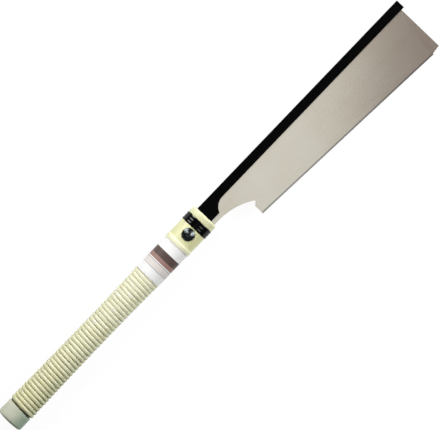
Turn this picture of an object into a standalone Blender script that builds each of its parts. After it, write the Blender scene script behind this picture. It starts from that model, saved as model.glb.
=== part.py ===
"""A dozuki, the fine-toothed Japanese back saw, lying on its side.

A thin steel blade is stiffened by a folded steel spine. The tang of both slides into a slot in
the moulded head, where one screw squeezes the head on it. Behind the head an oval wooden core,
wound with half-round cane, makes the handle, and a cap closes the butt.

Sizes are in millimetres, measured from the middle of the head's front face: X runs along the
handle to the toe, Y from the teeth to the spine, and Z through the blade to the screw's head.
"""

import math

import bmesh
import bpy
from mathutils import Vector

MM = 0.001

# Handle: stations along X, and half widths in the blade's plane
BUTT_X = -292.3
WIND_REAR_X = -274.9
WIND_FRONT_X = -86.3
SLEEVE_X = -86.0
LABEL_FRONT_X = -43.3
BEAD_REAR_X = -41.0
BEAD_FRONT_X = -38.1
FERRULE_REAR_X = -17.6
FERRULE_FRONT_X = -8.0
OVAL = 0.84
HEAD_R = 15.6
NOSE_R = 15.7
BEAD_R = 16.0
BEAD_FOOT_R = 15.45
SLEEVE_R = 14.85
LABEL_R = 15.5
FERRULE_R = 16.25
FERRULE_FRONT_R = 16.1
FERRULE_FOOT_R = 15.7
FERRULE_BEADS = 3
FERRULE_GROOVE = 0.6
CAP_R = 14.9
GRIP_REAR_R = 15.8
GRIP_WAIST_R = 14.5
GRIP_FRONT_R = 15.3
WAIST_X = -150.0
NOSE_ROUND = 2.4
CAP_ROUND = 2.8
CAP_CHAMFER = 0.4

# Joints between the handle's pieces
GAP = 0.3
SOCKET_R = 11.5
SOCKET_X = -44.6
CAP_SOCKET_R = 10.3
CAP_SOCKET_X = -286.4
FERRULE_WALL = 1.0
LABEL_WALL = 0.4
TENON_CHAMFER = 1.0
PIN_X = -65.0
PIN_R = 2.0
PIN_HALF = 12.0

# Cane: a half-round strip wound left-handed, in two lengths that meet end to end
CANE_WIDTH = 4.05
CANE_THICK = 1.6
CANE_SHOULDER = 0.68
CANE_BED = 0.5
CANE_PITCH = 4.536
CANE_POINTS = 20
CANE_TURNS = 40.6
CANE_LEAD = 0.303
CANE_JOIN_TURN = 19.8
CANE_JOIN_GAP = 0.006

# Spine and blade
SPINE_TOP = 11.3
SPINE_LOW = 1.1
SPINE_TIP_X = 296.8
SPINE_THICK = 2.6
SPINE_FOLD = 1.1
SPINE_EDGE = 0.9
SPINE_RELIEF = 0.1
RELIEF_FRONT_X = 0.4
ROOT_LOW = -8.35
ROOT_ARC_X = 26.5
ROOT_ARC_R = 15.0
BLADE_THICK = 0.3
BLADE_SLOT = 0.6
BLADE_TOP = 9.9
TANG_X = -35.5
TANG_LOW = -13.2
TANG_ARC_X = 5.9
TANG_ARC_R = 74.0
NOTCH_X = 45.9
NOTCH_Y = -26.35
NOTCH_R = 0.9
HEEL_X = 43.0
HEEL_TOP = -29.9
HEEL_LOW = -41.3
TOOTH_END_X = 283.0
TOOTH_END_Y = -54.9
TOE_X = 293.2
TOE_LOW = -53.6
TOOTH_PITCH = 1.2
TOOTH_DEPTH = 0.8
TOOTH_LEAN = 0.25

# Head's slot and its liner
SLOT_X = -37.0
SLOT_HALF = 2.65
SLOT_TOP = 12.65
LINER_THICK = 0.75
LINER_FRONT_X = -1.0
LOW_SLOT_HALF = 0.45

# Clamp: screw, washer and nut
SCREW_X = -26.0
SCREW_Y = -0.8
SCREW_R = 2.9
SCREW_HOLE_R = 3.3
SCREW_HEAD_R = 6.7
SCREW_HEAD_RIM = 0.6
SCREW_DOME = 2.4
SCREW_END_Z = -11.4
SCREW_CHAMFER = 0.6
RECESS_LENGTH = 7.0
RECESS_WIDTH = 1.5
RECESS_DEPTH = 1.6
SEAT_R = 7.3
SEAT_Z = 11.0
WASHER_R = 6.3
WASHER_THICK = 0.6
WASHER_GAP = 0.15
NUT_FLATS = 10.0
NUT_THICK = 5.0
NUT_LOW_Z = -11.9

# How far cutters run past what they cut
OVERRUN = 5.0
THROUGH = 20.0

# Facets of turned pieces
HANDLE_STEPS = 36
SMALL_STEPS = 24

# The part's origin is the middle of the underside of its box
BOX_BASE = Vector((
    (BUTT_X + SPINE_TIP_X) / 2,
    (TOOTH_END_Y + FERRULE_R) / 2,
    -FERRULE_R * OVAL,
))

# Scene and collections
for old in list(bpy.data.objects):
    bpy.data.objects.remove(old, do_unlink=True)
PARTS = bpy.data.collections.new("dozuki_saw")
CUTTERS = bpy.data.collections.new("dozuki_saw_cutters")
bpy.context.scene.collection.children.link(PARTS)
bpy.context.scene.collection.children.link(CUTTERS)


def place(x, y, z):
    """A point measured from the head's front face, as a place in the part's frame in metres."""
    return (Vector((x, y, z)) - BOX_BASE) * MM


def material(name, colour, roughness, metallic=0.0):
    """A Principled material with a plain colour."""
    made = bpy.data.materials.new(name)
    made.use_nodes = True
    shader = made.node_tree.nodes["Principled BSDF"]
    shader.inputs["Base Color"].default_value = (*colour, 1.0)
    shader.inputs["Roughness"].default_value = roughness
    shader.inputs["Metallic"].default_value = metallic
    return made


def finish_part(name, mesh, location, coat, rotation=(0.0, 0.0, 0.0)):
    """Put a mesh in the parts' collection as a named sub-part with its own material."""
    mesh.name = name
    mesh.materials.clear()
    mesh.materials.append(coat)
    part = bpy.data.objects.new(name, mesh)
    part.location = location
    part.rotation_euler = rotation
    PARTS.objects.link(part)
    return part


def finish_cutter(name, mesh, location, rotation=(0.0, 0.0, 0.0)):
    """Put a mesh in the cutters' collection, out of the render."""
    cutter = bpy.data.objects.new(name, mesh)
    cutter.location = location
    cutter.rotation_euler = rotation
    cutter.hide_render = True
    cutter.display_type = "WIRE"
    CUTTERS.objects.link(cutter)
    return cutter


def cut(part, *cutters):
    """Take the cutters away from a part."""
    for cutter in cutters:
        boolean = part.modifiers.new("Cut " + cutter.name, "BOOLEAN")
        boolean.operation = "DIFFERENCE"
        boolean.solver = "EXACT"
        boolean.object = cutter


def settled_mesh(source, smooth_angle=None):
    """The evaluated shape of a helper object as a plain welded mesh; the helper is removed."""
    graph = bpy.context.evaluated_depsgraph_get()
    mesh = bpy.data.meshes.new_from_object(source.evaluated_get(graph))
    bpy.data.objects.remove(source, do_unlink=True)
    shape = bmesh.new()
    shape.from_mesh(mesh)
    bmesh.ops.remove_doubles(shape, verts=shape.verts, dist=0.000002)
    bmesh.ops.recalc_face_normals(shape, faces=shape.faces)
    shape.to_mesh(mesh)
    shape.free()
    if smooth_angle is not None:
        mesh.shade_smooth()
        mesh.set_sharp_from_angle(angle=math.radians(smooth_angle))
    return mesh


def turned_mesh(profile, steps, ring=False):
    """A turned shape about local Z from (radius, height) points that run down its outer side."""
    count = len(profile)
    outline = bpy.data.meshes.new("profile")
    edges = [(i, i + 1) for i in range(count - 1)]
    if ring:
        edges.append((count - 1, 0))
    outline.from_pydata([(r * MM, 0.0, h * MM) for r, h in profile], edges, [])
    blank = bpy.data.objects.new("profile", outline)
    PARTS.objects.link(blank)
    screw = blank.modifiers.new("Turn", "SCREW")
    screw.axis = "Z"
    screw.steps = steps
    screw.render_steps = steps
    screw.use_merge_vertices = True
    screw.merge_threshold = 0.00001
    return settled_mesh(blank, 32.0)


def handle_part(name, profile, coat, ring=False, steps=HANDLE_STEPS):
    """A turned piece of the handle: its axis lies along X, and it is flattened to the oval."""
    mesh = turned_mesh(profile, steps, ring)
    part = finish_part(name, mesh, place(0.0, 0.0, 0.0), coat, (0.0, math.pi / 2, 0.0))
    part.scale = (OVAL, 1.0, 1.0)
    return part


def flat_mesh(outline, thickness):
    """A flat plate in XY from an outline in mm, as thick as given about Z."""
    curve = bpy.data.curves.new("outline", "CURVE")
    curve.dimensions = "2D"
    curve.fill_mode = "BOTH"
    curve.extrude = thickness / 2 * MM
    curve.render_resolution_u = 0
    spline = curve.splines.new("POLY")
    spline.points.add(len(outline) - 1)
    for point, (x, y) in zip(spline.points, outline):
        point.co = (x * MM, y * MM, 0.0, 1.0)
    spline.use_cyclic_u = True
    blank = bpy.data.objects.new("outline", curve)
    PARTS.objects.link(blank)
    return settled_mesh(blank)


def box_mesh(low, high):
    """A box about its own middle with the size between two corners in mm."""
    mesh = bpy.data.meshes.new("box")
    shape = bmesh.new()
    bmesh.ops.create_cube(shape, size=1.0)
    bmesh.ops.scale(shape, vec=(Vector(high) - Vector(low)) * MM, verts=shape.verts)
    shape.to_mesh(mesh)
    shape.free()
    return mesh


def box_cutter(name, low, high):
    """A box-shaped cutter between two corners in mm."""
    middle = (Vector(low) + Vector(high)) / 2
    return finish_cutter(name, box_mesh(low, high), place(*middle))


def prism_mesh(radius, length, sides):
    """An upright prism or rod about its own middle, in mm."""
    mesh = bpy.data.meshes.new("prism")
    shape = bmesh.new()
    bmesh.ops.create_cone(
        shape, cap_ends=True, segments=sides,
        radius1=radius * MM, radius2=radius * MM, depth=length * MM,
    )
    shape.to_mesh(mesh)
    shape.free()
    return mesh


def rod_cutter(name, x, y, z_low, z_high, radius, sides=SMALL_STEPS):
    """An upright round or many-sided cutter."""
    mesh = prism_mesh(radius, z_high - z_low, sides)
    return finish_cutter(name, mesh, place(x, y, (z_low + z_high) / 2))


def arc(centre_x, centre_y, radius, start, stop, steps):
    """Points along an arc between two angles in degrees, both ends included."""
    angles = [math.radians(start + (stop - start) * i / steps) for i in range(steps + 1)]
    return [(centre_x + radius * math.cos(a), centre_y + radius * math.sin(a)) for a in angles]


def hump(front_x, rear_x, base_r, top_r, steps):
    """A rounded bead of a turned profile, from its front foot to its rear foot."""
    points = []
    for i in range(steps + 1):
        part_way = i / steps
        lift = math.sin(math.pi * part_way)
        points.append((base_r + (top_r - base_r) * lift, front_x + (rear_x - front_x) * part_way))
    return points


def grip_radius(x):
    """Half width over the cane: widest at the butt, waisted, and fuller again at the head."""
    if x < WAIST_X:
        rise = (GRIP_REAR_R - GRIP_WAIST_R) * ((WAIST_X - x) / (WAIST_X - WIND_REAR_X)) ** 2
    else:
        rise = (GRIP_FRONT_R - GRIP_WAIST_R) * ((x - WAIST_X) / (WIND_FRONT_X - WAIST_X)) ** 2
    return GRIP_WAIST_R + rise


# Materials
CREAM = material("cream moulding", (0.79, 0.77, 0.47), 0.38)
BLACK_GLOSS = material("black glossy ring", (0.008, 0.008, 0.009), 0.16)
LABEL_WHITE = material("white label paper", (0.93, 0.93, 0.92), 0.42)
WOOD = material("pale core wood", (0.62, 0.46, 0.26), 0.62)
CANE_REAR = material("peeled cane rear", (0.66, 0.62, 0.36), 0.5)
CANE_FRONT = material("peeled cane front", (0.68, 0.64, 0.38), 0.5)
CAP_GREY = material("pale cap moulding", (0.50, 0.50, 0.40), 0.45)
BLADE_STEEL = material("polished blade steel", (0.62, 0.60, 0.56), 0.24, 1.0)
SPINE_BLACK = material("black lacquered spine", (0.006, 0.006, 0.007), 0.34)
SCREW_DARK = material("blackened screw steel", (0.035, 0.037, 0.04), 0.22, 0.85)
WASHER_STEEL = material("plated washer steel", (0.55, 0.55, 0.54), 0.3, 1.0)
NUT_STEEL = material("plated nut steel", (0.52, 0.52, 0.50), 0.34, 1.0)
PIN_STEEL = material("drawn pin steel", (0.48, 0.48, 0.47), 0.36, 1.0)
LINER_STEEL = material("rolled liner steel", (0.42, 0.42, 0.41), 0.42, 1.0)


# Head: one moulding from the nose to the sleeve that takes the core's tenon
def head_profile():
    """Outer side from the nose back to the sleeve, then the socket for the core."""
    groove_r = FERRULE_R - FERRULE_WALL - GAP
    nose = arc(NOSE_R - NOSE_ROUND, -NOSE_ROUND, NOSE_ROUND, 90.0, 0.0, 4)
    points = [(0.0, 0.0)]
    points += nose
    points += [(NOSE_R, FERRULE_FRONT_X + GAP), (groove_r, FERRULE_FRONT_X + GAP)]
    points += [(groove_r, FERRULE_REAR_X - GAP), (HEAD_R, FERRULE_REAR_X - GAP)]
    points += hump(BEAD_FRONT_X, BEAD_REAR_X, BEAD_FOOT_R, BEAD_R, 6)
    points += [(SLEEVE_R, BEAD_REAR_X), (SLEEVE_R, SLEEVE_X)]
    points += [(SOCKET_R, SLEEVE_X), (SOCKET_R, SOCKET_X), (0.0, SOCKET_X)]
    return points


head = handle_part("handle_head", head_profile(), CREAM)
nut_pocket_r = (NUT_FLATS / 2 + GAP) / math.cos(math.pi / 6)
nut_pocket_z = NUT_LOW_Z + NUT_THICK + GAP
cut(
    head,
    box_cutter(
        "slot_for_spine",
        (SLOT_X, ROOT_LOW - GAP, -SLOT_HALF),
        (OVERRUN, SLOT_TOP, SLOT_HALF),
    ),
    box_cutter(
        "slot_for_blade",
        (SLOT_X, TANG_LOW - GAP, -LOW_SLOT_HALF),
        (OVERRUN, ROOT_LOW + GAP, LOW_SLOT_HALF),
    ),
    rod_cutter("screw_bore", SCREW_X, SCREW_Y, -THROUGH, THROUGH, SCREW_HOLE_R),
    rod_cutter("screw_seat", SCREW_X, SCREW_Y, SEAT_Z, THROUGH, SEAT_R, HANDLE_STEPS),
    rod_cutter("nut_pocket", SCREW_X, SCREW_Y, -THROUGH, nut_pocket_z, nut_pocket_r, 6),
)
pin_bore = rod_cutter("pin_bore", PIN_X, 0.0, -THROUGH, THROUGH, PIN_R + GAP)
cut(head, pin_bore)


# Slot liner: a folded sheet, open below, that the tang slides in
def liner_part():
    """Outer block of the fold with its inside and the screw's hole cut out."""
    half = SLOT_HALF - GAP
    low = (SLOT_X + GAP, ROOT_LOW, -half)
    high = (LINER_FRONT_X, SLOT_TOP - GAP, half)
    middle = (Vector(low) + Vector(high)) / 2
    liner = finish_part("tang_liner", box_mesh(low, high), place(*middle), LINER_STEEL)
    inner = half - LINER_THICK
    top = SLOT_TOP - GAP - LINER_THICK
    cut(
        liner,
        box_cutter(
            "liner_inside",
            (SLOT_X - OVERRUN, ROOT_LOW - OVERRUN, -inner),
            (OVERRUN, top, inner),
        ),
        rod_cutter("liner_hole", SCREW_X, SCREW_Y, -OVERRUN, OVERRUN, SCREW_HOLE_R),
    )


liner_part()


# Ferrule: a ring of rounded beads in the head's groove, the front bead a little lower
def ferrule_profile():
    """Beads from the front to the rear with grooves between, closed along the ring's bore."""
    inner = FERRULE_R - FERRULE_WALL
    step = (FERRULE_FRONT_X - FERRULE_REAR_X + FERRULE_GROOVE) / FERRULE_BEADS
    points = []
    for i in range(FERRULE_BEADS):
        front_x = FERRULE_FRONT_X - step * i
        rear_x = front_x - step + FERRULE_GROOVE
        top_r = FERRULE_FRONT_R if i == 0 else FERRULE_R
        points += hump(front_x, rear_x, FERRULE_FOOT_R, top_r, 6)
    points += [(inner, FERRULE_REAR_X), (inner, FERRULE_FRONT_X)]
    return points


handle_part("ferrule", ferrule_profile(), BLACK_GLOSS, ring=True, steps=SMALL_STEPS)

# Label: a band round the sleeve, left without print
label_inner = LABEL_R - LABEL_WALL
handle_part(
    "label_band",
    [
        (LABEL_R, LABEL_FRONT_X),
        (LABEL_R, SLEEVE_X),
        (label_inner, SLEEVE_X),
        (label_inner, LABEL_FRONT_X),
    ],
    LABEL_WHITE,
    ring=True,
)


# Core: wood under the cane, with a tenon for the head and another for the cap
def core_profile():
    """Front tenon, waisted body and rear tenon."""
    tenon_r = SOCKET_R - GAP
    rear_tenon_r = CAP_SOCKET_R - GAP
    under_cane = CANE_THICK + CANE_BED
    front_x = SOCKET_X - GAP
    rear_x = CAP_SOCKET_X + GAP
    points = [(0.0, front_x), (tenon_r - TENON_CHAMFER, front_x)]
    points += [(tenon_r, front_x - TENON_CHAMFER), (tenon_r, WIND_FRONT_X)]
    stations = 10
    for i in range(stations + 1):
        x = WIND_FRONT_X + (WIND_REAR_X - WIND_FRONT_X) * i / stations
        points.append((grip_radius(x) - under_cane, x))
    points += [(rear_tenon_r, WIND_REAR_X), (rear_tenon_r, rear_x + TENON_CHAMFER)]
    points += [(rear_tenon_r - TENON_CHAMFER, rear_x), (0.0, rear_x)]
    return points


core = handle_part("handle_core", core_profile(), WOOD)
cut(core, pin_bore)

# Cross pin through the sleeve and the tenon
finish_part(
    "head_pin",
    prism_mesh(PIN_R, 2 * PIN_HALF, SMALL_STEPS),
    place(PIN_X, 0.0, 0.0),
    PIN_STEEL,
)


# Butt cap: a blind moulding on the rear tenon
def cap_profile():
    """Socket, front rim, outer side and rounded flat end."""
    rim_x = WIND_REAR_X - GAP
    points = [(0.0, CAP_SOCKET_X), (CAP_SOCKET_R, CAP_SOCKET_X), (CAP_SOCKET_R, rim_x)]
    points += [(CAP_R - CAP_CHAMFER, rim_x), (CAP_R, rim_x - CAP_CHAMFER)]
    points += arc(CAP_R - CAP_ROUND, BUTT_X + CAP_ROUND, CAP_ROUND, 0.0, -90.0, 4)
    points.append((0.0, BUTT_X))
    return points


handle_part("butt_cap", cap_profile(), CAP_GREY)


# Cane: each length is one strip on its own helix
def cane_section():
    """Half-round section of the strip: local X points in to the core, Y along the handle."""
    half = CANE_WIDTH / 2
    curve = bpy.data.curves.new("cane_section", "CURVE")
    curve.dimensions = "2D"
    curve.render_resolution_u = 0
    outline = [
        (0.0, -half),
        (CANE_THICK * CANE_SHOULDER, -half * CANE_SHOULDER),
        (CANE_THICK, 0.0),
        (CANE_THICK * CANE_SHOULDER, half * CANE_SHOULDER),
        (0.0, half),
    ]
    spline = curve.splines.new("POLY")
    spline.points.add(len(outline) - 1)
    for point, (out, along) in zip(spline.points, outline):
        point.co = (-out * MM, along * MM, 0.0, 1.0)
    spline.use_cyclic_u = True
    section = bpy.data.objects.new("cane_section", curve)
    section.hide_render = True
    section.display_type = "WIRE"
    CUTTERS.objects.link(section)
    return section


def cane_path(first_turn, last_turn):
    """Points in mm on the strip's inner face: local X down, Y to the spine's side, Z along."""
    start_x = WIND_REAR_X + GAP + CANE_WIDTH / 2
    steps = round((last_turn - first_turn) * CANE_POINTS)
    points = []
    for i in range(steps + 1):
        turn = first_turn + (last_turn - first_turn) * i / steps
        along = start_x + turn * CANE_PITCH
        radius = grip_radius(along) - CANE_THICK
        angle = math.tau * (turn - CANE_LEAD)
        points.append(Vector((-radius * math.cos(angle), radius * math.sin(angle), along)))
    return points


def least_gap(points):
    """Least clear space, in mm, between one turn of the strip and the next."""
    nearest = min(
        (points[i] - points[j]).length
        for i in range(len(points))
        for j in range(i + CANE_POINTS // 2, min(i + 2 * CANE_POINTS, len(points)))
    )
    return nearest - CANE_WIDTH


def cane_part(name, first_turn, last_turn, section, coat):
    """One strip of cane wound on the core."""
    points = cane_path(first_turn, last_turn)
    print(name, "turns", round(last_turn - first_turn, 2), "least gap mm", round(least_gap(points), 3))
    curve = bpy.data.curves.new(name, "CURVE")
    curve.dimensions = "3D"
    curve.twist_mode = "Z_UP"
    curve.bevel_mode = "OBJECT"
    curve.bevel_object = section
    curve.use_fill_caps = True
    curve.render_resolution_u = 0
    spline = curve.splines.new("POLY")
    spline.points.add(len(points) - 1)
    for point, spot in zip(spline.points, points):
        point.co = (*(spot * MM), 1.0)
    blank = bpy.data.objects.new(name, curve)
    PARTS.objects.link(blank)
    mesh = settled_mesh(blank, 50.0)
    part = finish_part(name, mesh, place(0.0, 0.0, 0.0), coat, (0.0, math.pi / 2, 0.0))
    part.scale = (OVAL, 1.0, 1.0)


rear_stop = CANE_JOIN_TURN - CANE_JOIN_GAP / 2
front_start = CANE_JOIN_TURN + CANE_JOIN_GAP / 2
section = cane_section()
cane_part("cane_winding_rear", 0.0, rear_stop, section, CANE_REAR)
cane_part("cane_winding_front", front_start, CANE_TURNS, section, CANE_FRONT)

# The blade and its spine slide together out of the slot
blade_slide = bpy.data.objects.new("blade_slide", None)
blade_slide.location = place(0.0, 0.0, 0.0)
PARTS.objects.link(blade_slide)


def tang_fork():
    """Rear end of the tang from its lower to its upper corner, with the screw's open notch."""
    notch = arc(SCREW_X, SCREW_Y, SCREW_HOLE_R, -90.0, 90.0, 10)
    return [(TANG_X, SCREW_Y - SCREW_HOLE_R)] + notch + [(TANG_X, SCREW_Y + SCREW_HOLE_R)]


# Spine: a folded sheet, wide at the root
def spine_outline():
    """Fold line, toe end, lower lip, the root's hollow, and the forked tang."""
    centre_y = SPINE_LOW - ROOT_ARC_R
    last = 180.0 - math.degrees(math.asin((ROOT_LOW - centre_y) / ROOT_ARC_R))
    points = [(TANG_X, SPINE_TOP), (SPINE_TIP_X, SPINE_TOP), (SPINE_TIP_X, SPINE_LOW)]
    points += arc(ROOT_ARC_X, centre_y, ROOT_ARC_R, 90.0, last, 10)
    points.append((TANG_X, ROOT_LOW))
    return points + tang_fork()


def round_fold(mesh):
    """Round the two long edges of the fold."""
    shape = bmesh.new()
    shape.from_mesh(mesh)
    high = (SPINE_TOP - GAP) * MM
    long = (SPINE_TIP_X - TANG_X) / 2 * MM
    fold = [e for e in shape.edges if min(v.co.y for v in e.verts) > high and e.calc_length() > long]
    bmesh.ops.bevel(
        shape, geom=fold, offset=SPINE_EDGE * MM, segments=4, profile=0.5,
        affect="EDGES", material=-1,
    )
    shape.to_mesh(mesh)
    shape.free()


spine_mesh = flat_mesh(spine_outline(), SPINE_THICK)
round_fold(spine_mesh)
spine = finish_part("spine", spine_mesh, (0.0, 0.0, 0.0), SPINE_BLACK)
spine.parent = blade_slide
spine_half = SPINE_THICK / 2
relief_half = spine_half - SPINE_RELIEF
cut(
    spine,
    box_cutter(
        "spine_slot",
        (TANG_X - OVERRUN, ROOT_LOW - OVERRUN, -BLADE_SLOT / 2),
        (SPINE_TIP_X + OVERRUN, SPINE_TOP - SPINE_FOLD, BLADE_SLOT / 2),
    ),
    box_cutter(
        "tang_relief_upper",
        (TANG_X - OVERRUN, -THROUGH, relief_half),
        (RELIEF_FRONT_X, THROUGH, OVERRUN),
    ),
    box_cutter(
        "tang_relief_lower",
        (TANG_X - OVERRUN, -THROUGH, -OVERRUN),
        (RELIEF_FRONT_X, THROUGH, -relief_half),
    ),
)


# Blade: a thin plate whose lower edge carries the teeth
def teeth():
    """Tooth tips and roots from the toe back to the heel; the steep faces look at the handle."""
    start = Vector((HEEL_X, HEEL_LOW))
    along = Vector((TOOTH_END_X, TOOTH_END_Y)) - start
    count = round(along.length / TOOTH_PITCH)
    pitch = along.length / count
    along.normalize()
    up = Vector((-along.y, along.x))
    points = []
    for i in reversed(range(count)):
        tip = start + along * pitch * (i + TOOTH_LEAN)
        root = start + along * pitch * i + up * TOOTH_DEPTH
        points.append((tip.x, tip.y))
        points.append((root.x, root.y))
    print("blade teeth", count, "pitch mm", round(pitch, 3))
    return points


def blade_outline():
    """Edge in the fold, toe, teeth, heel, notch, hollow of the tang, and the fork."""
    arc_y = TANG_LOW - TANG_ARC_R
    arc_end = math.degrees(math.acos((NOTCH_X + NOTCH_R * 0.75 - TANG_ARC_X) / TANG_ARC_R))
    points = [(TANG_X, BLADE_TOP), (TOE_X, BLADE_TOP), (TOE_X, TOE_LOW), (TOOTH_END_X, TOOTH_END_Y)]
    points += teeth()
    points.append((HEEL_X, HEEL_TOP))
    points += arc(NOTCH_X, NOTCH_Y, NOTCH_R, -50.0, 35.0, 4)
    points += arc(TANG_ARC_X, arc_y, TANG_ARC_R, arc_end, 90.0, 12)
    points.append((TANG_X, TANG_LOW))
    return points + tang_fork()


blade_mesh = flat_mesh(blade_outline(), BLADE_THICK)
blade = finish_part("blade", blade_mesh, (0.0, 0.0, 0.0), BLADE_STEEL)
blade.parent = blade_slide


# Clamp: screw and washer turn and lift on one axis, over a nut that the head holds
def screw_profile():
    """Dome, rim, underside and shank, measured from the underside of the screw's head."""
    dome_r = (SCREW_HEAD_R ** 2 + SCREW_DOME ** 2) / (2 * SCREW_DOME)
    edge = math.degrees(math.asin(SCREW_HEAD_R / dome_r))
    top = SCREW_HEAD_RIM + SCREW_DOME
    points = arc(0.0, top - dome_r, dome_r, 90.0, 90.0 - edge, 5)
    points[0] = (0.0, top)
    shank = SCREW_END_Z - SCREW_HEAD_Z
    points += [(SCREW_HEAD_R, 0.0), (SCREW_R, 0.0), (SCREW_R, shank + SCREW_CHAMFER)]
    points += [(SCREW_R - SCREW_CHAMFER, shank), (0.0, shank)]
    return points


WASHER_Z = SEAT_Z + WASHER_GAP
SCREW_HEAD_Z = WASHER_Z + WASHER_THICK + WASHER_GAP
screw = finish_part(
    "clamp_screw",
    turned_mesh(screw_profile(), SMALL_STEPS),
    place(SCREW_X, SCREW_Y, SCREW_HEAD_Z),
    SCREW_DARK,
)
recess_z = SCREW_HEAD_Z + SCREW_HEAD_RIM + SCREW_DOME - RECESS_DEPTH
half_long = RECESS_LENGTH / 2
half_wide = RECESS_WIDTH / 2
cut(
    screw,
    box_cutter(
        "recess_along",
        (SCREW_X - half_long, SCREW_Y - half_wide, recess_z),
        (SCREW_X + half_long, SCREW_Y + half_wide, recess_z + OVERRUN),
    ),
    box_cutter(
        "recess_across",
        (SCREW_X - half_wide, SCREW_Y - half_long, recess_z),
        (SCREW_X + half_wide, SCREW_Y + half_long, recess_z + OVERRUN),
    ),
)
finish_part(
    "screw_washer",
    turned_mesh(
        [(WASHER_R, WASHER_THICK), (WASHER_R, 0.0), (SCREW_HOLE_R, 0.0), (SCREW_HOLE_R, WASHER_THICK)],
        SMALL_STEPS,
        ring=True,
    ),
    place(SCREW_X, SCREW_Y, WASHER_Z),
    WASHER_STEEL,
)
nut = finish_part(
    "clamp_nut",
    prism_mesh(NUT_FLATS / 2 / math.cos(math.pi / 6), NUT_THICK, 6),
    place(SCREW_X, SCREW_Y, NUT_LOW_Z + NUT_THICK / 2),
    NUT_STEEL,
)
cut(nut, rod_cutter("nut_thread", SCREW_X, SCREW_Y, NUT_LOW_Z - OVERRUN, 0.0, SCREW_R + GAP))
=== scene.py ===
# %% [markdown]
# # A dozuki saw, lying on its side
#
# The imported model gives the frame: every piece of the saw has its place there already, in metres,
# with X along the handle, Y from the teeth to the spine and Z up to the screw's head. This lesson
# dresses that frame. Each step remakes one piece finely, or gives a piece of the frame its finish.

# %% Load the frame and keep its box
import math

import bmesh
import bpy
from mathutils import Matrix, Vector


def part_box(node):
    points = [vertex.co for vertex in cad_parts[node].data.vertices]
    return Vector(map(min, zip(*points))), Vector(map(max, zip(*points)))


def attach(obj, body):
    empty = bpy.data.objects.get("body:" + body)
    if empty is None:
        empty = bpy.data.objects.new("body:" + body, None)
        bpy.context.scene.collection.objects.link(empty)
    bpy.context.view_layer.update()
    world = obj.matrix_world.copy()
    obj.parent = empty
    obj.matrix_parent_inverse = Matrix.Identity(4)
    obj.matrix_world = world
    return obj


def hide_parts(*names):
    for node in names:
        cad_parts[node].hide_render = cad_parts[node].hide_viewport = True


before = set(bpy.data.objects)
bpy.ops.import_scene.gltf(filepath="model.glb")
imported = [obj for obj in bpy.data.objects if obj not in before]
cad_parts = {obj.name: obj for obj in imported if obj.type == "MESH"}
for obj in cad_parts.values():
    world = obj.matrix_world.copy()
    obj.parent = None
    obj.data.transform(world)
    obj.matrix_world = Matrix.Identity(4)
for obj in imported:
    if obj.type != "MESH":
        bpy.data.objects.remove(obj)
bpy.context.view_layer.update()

# %% [markdown]
# ## Measuring from the frame
#
# All the turned pieces share one axis, which runs through the middle of the black ring. Measuring
# it once lets every outline be written in millimetres from the middle of the head's front face, as
# a maker would draw it. The handle is oval, so a piece is turned round first and flattened after.

# %% Find the handle's axis and its oval
MM = 0.001
ring_low, ring_high = (Vector(corner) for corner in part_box("ferrule"))
head_high = Vector(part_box("handle_head")[1])
FRONT = (ring_low + ring_high) / 2
FRONT.x = head_high.x
OVAL = (ring_high.z - ring_low.z) / (ring_high.y - ring_low.y)
print("head's front face", [round(v, 5) for v in FRONT], "oval", round(OVAL, 3))

# %% Stations along the handle, in mm from the head's front face


def station(node, corner):
    """Where a piece of the frame starts (corner 0) or stops (corner 1) along the handle."""
    return (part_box(node)[corner][0] - FRONT.x) / MM


BUTT_X = station("butt_cap", 0)
CAP_RIM_X = station("butt_cap", 1)
SLEEVE_X = station("handle_head", 0)
LABEL_X = station("label_band", 1)
RING_REAR_X = station("ferrule", 0)
RING_FRONT_X = station("ferrule", 1)
screw_low, screw_high = ((Vector(corner) - FRONT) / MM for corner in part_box("clamp_screw"))
SCREW = (screw_low.xy + screw_high.xy) / 2
print("butt", round(BUTT_X, 2), "cap rim", round(CAP_RIM_X, 2), "sleeve", round(SLEEVE_X, 2))
print("ring", round(RING_REAR_X, 2), round(RING_FRONT_X, 2), "screw", [round(v, 2) for v in SCREW])

# %% [markdown]
# ## Colours and nodes
#
# Colours are written as the eye reads them, in sRGB, and one function turns them to the linear
# values that a shader takes. A second one adds a node with its settings, its fixed inputs and its
# links. A few short ones on top of it, for noise, ramps, tints and bumps, let a material read as a
# list of what it is made of.

# %% Helpers for materials


def linear(code):
    """An sRGB hex colour as linear red, green, blue and a full alpha."""
    parts = [int(code[i:i + 2], 16) / 255 for i in (1, 3, 5)]
    return [p / 12.92 if p <= 0.04045 else ((p + 0.055) / 1.055) ** 2.4 for p in parts] + [1.0]


def add(tree, kind, values=None, links=None, stops=None, **settings):
    """Add a node: its own settings, fixed input values, links into it, and a ramp's stops."""
    node = tree.nodes.new("ShaderNode" + kind)
    for name, value in settings.items():
        setattr(node, name, value)
    for socket, value in (values or {}).items():
        node.inputs[socket].default_value = value
    for socket, source in (links or {}).items():
        tree.links.new(source, node.inputs[socket])
    if stops:
        ramp = node.color_ramp.elements
        ramp[0].position, ramp[0].color = stops[0]
        ramp[1].position, ramp[1].color = stops[-1]
        for at, colour in stops[1:-1]:
            ramp.new(at).color = colour
    return node


def begin(name):
    """A new material: its node tree, and the object coordinates that its patterns read."""
    made = bpy.data.materials.new(name)
    made.use_nodes = True
    made.node_tree.nodes.clear()
    return made, made.node_tree, add(made.node_tree, "TexCoord").outputs["Object"]


def per_mm(size):
    """The scale of a pattern whose marks are that many millimetres across."""
    return 1.0 / (size * MM)


def noise(tree, size, detail, where):
    """Soft noise with marks that many millimetres across."""
    values = {"Scale": per_mm(size), "Detail": detail}
    return add(tree, "TexNoise", values=values, links={0: where}).outputs[0]


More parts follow.
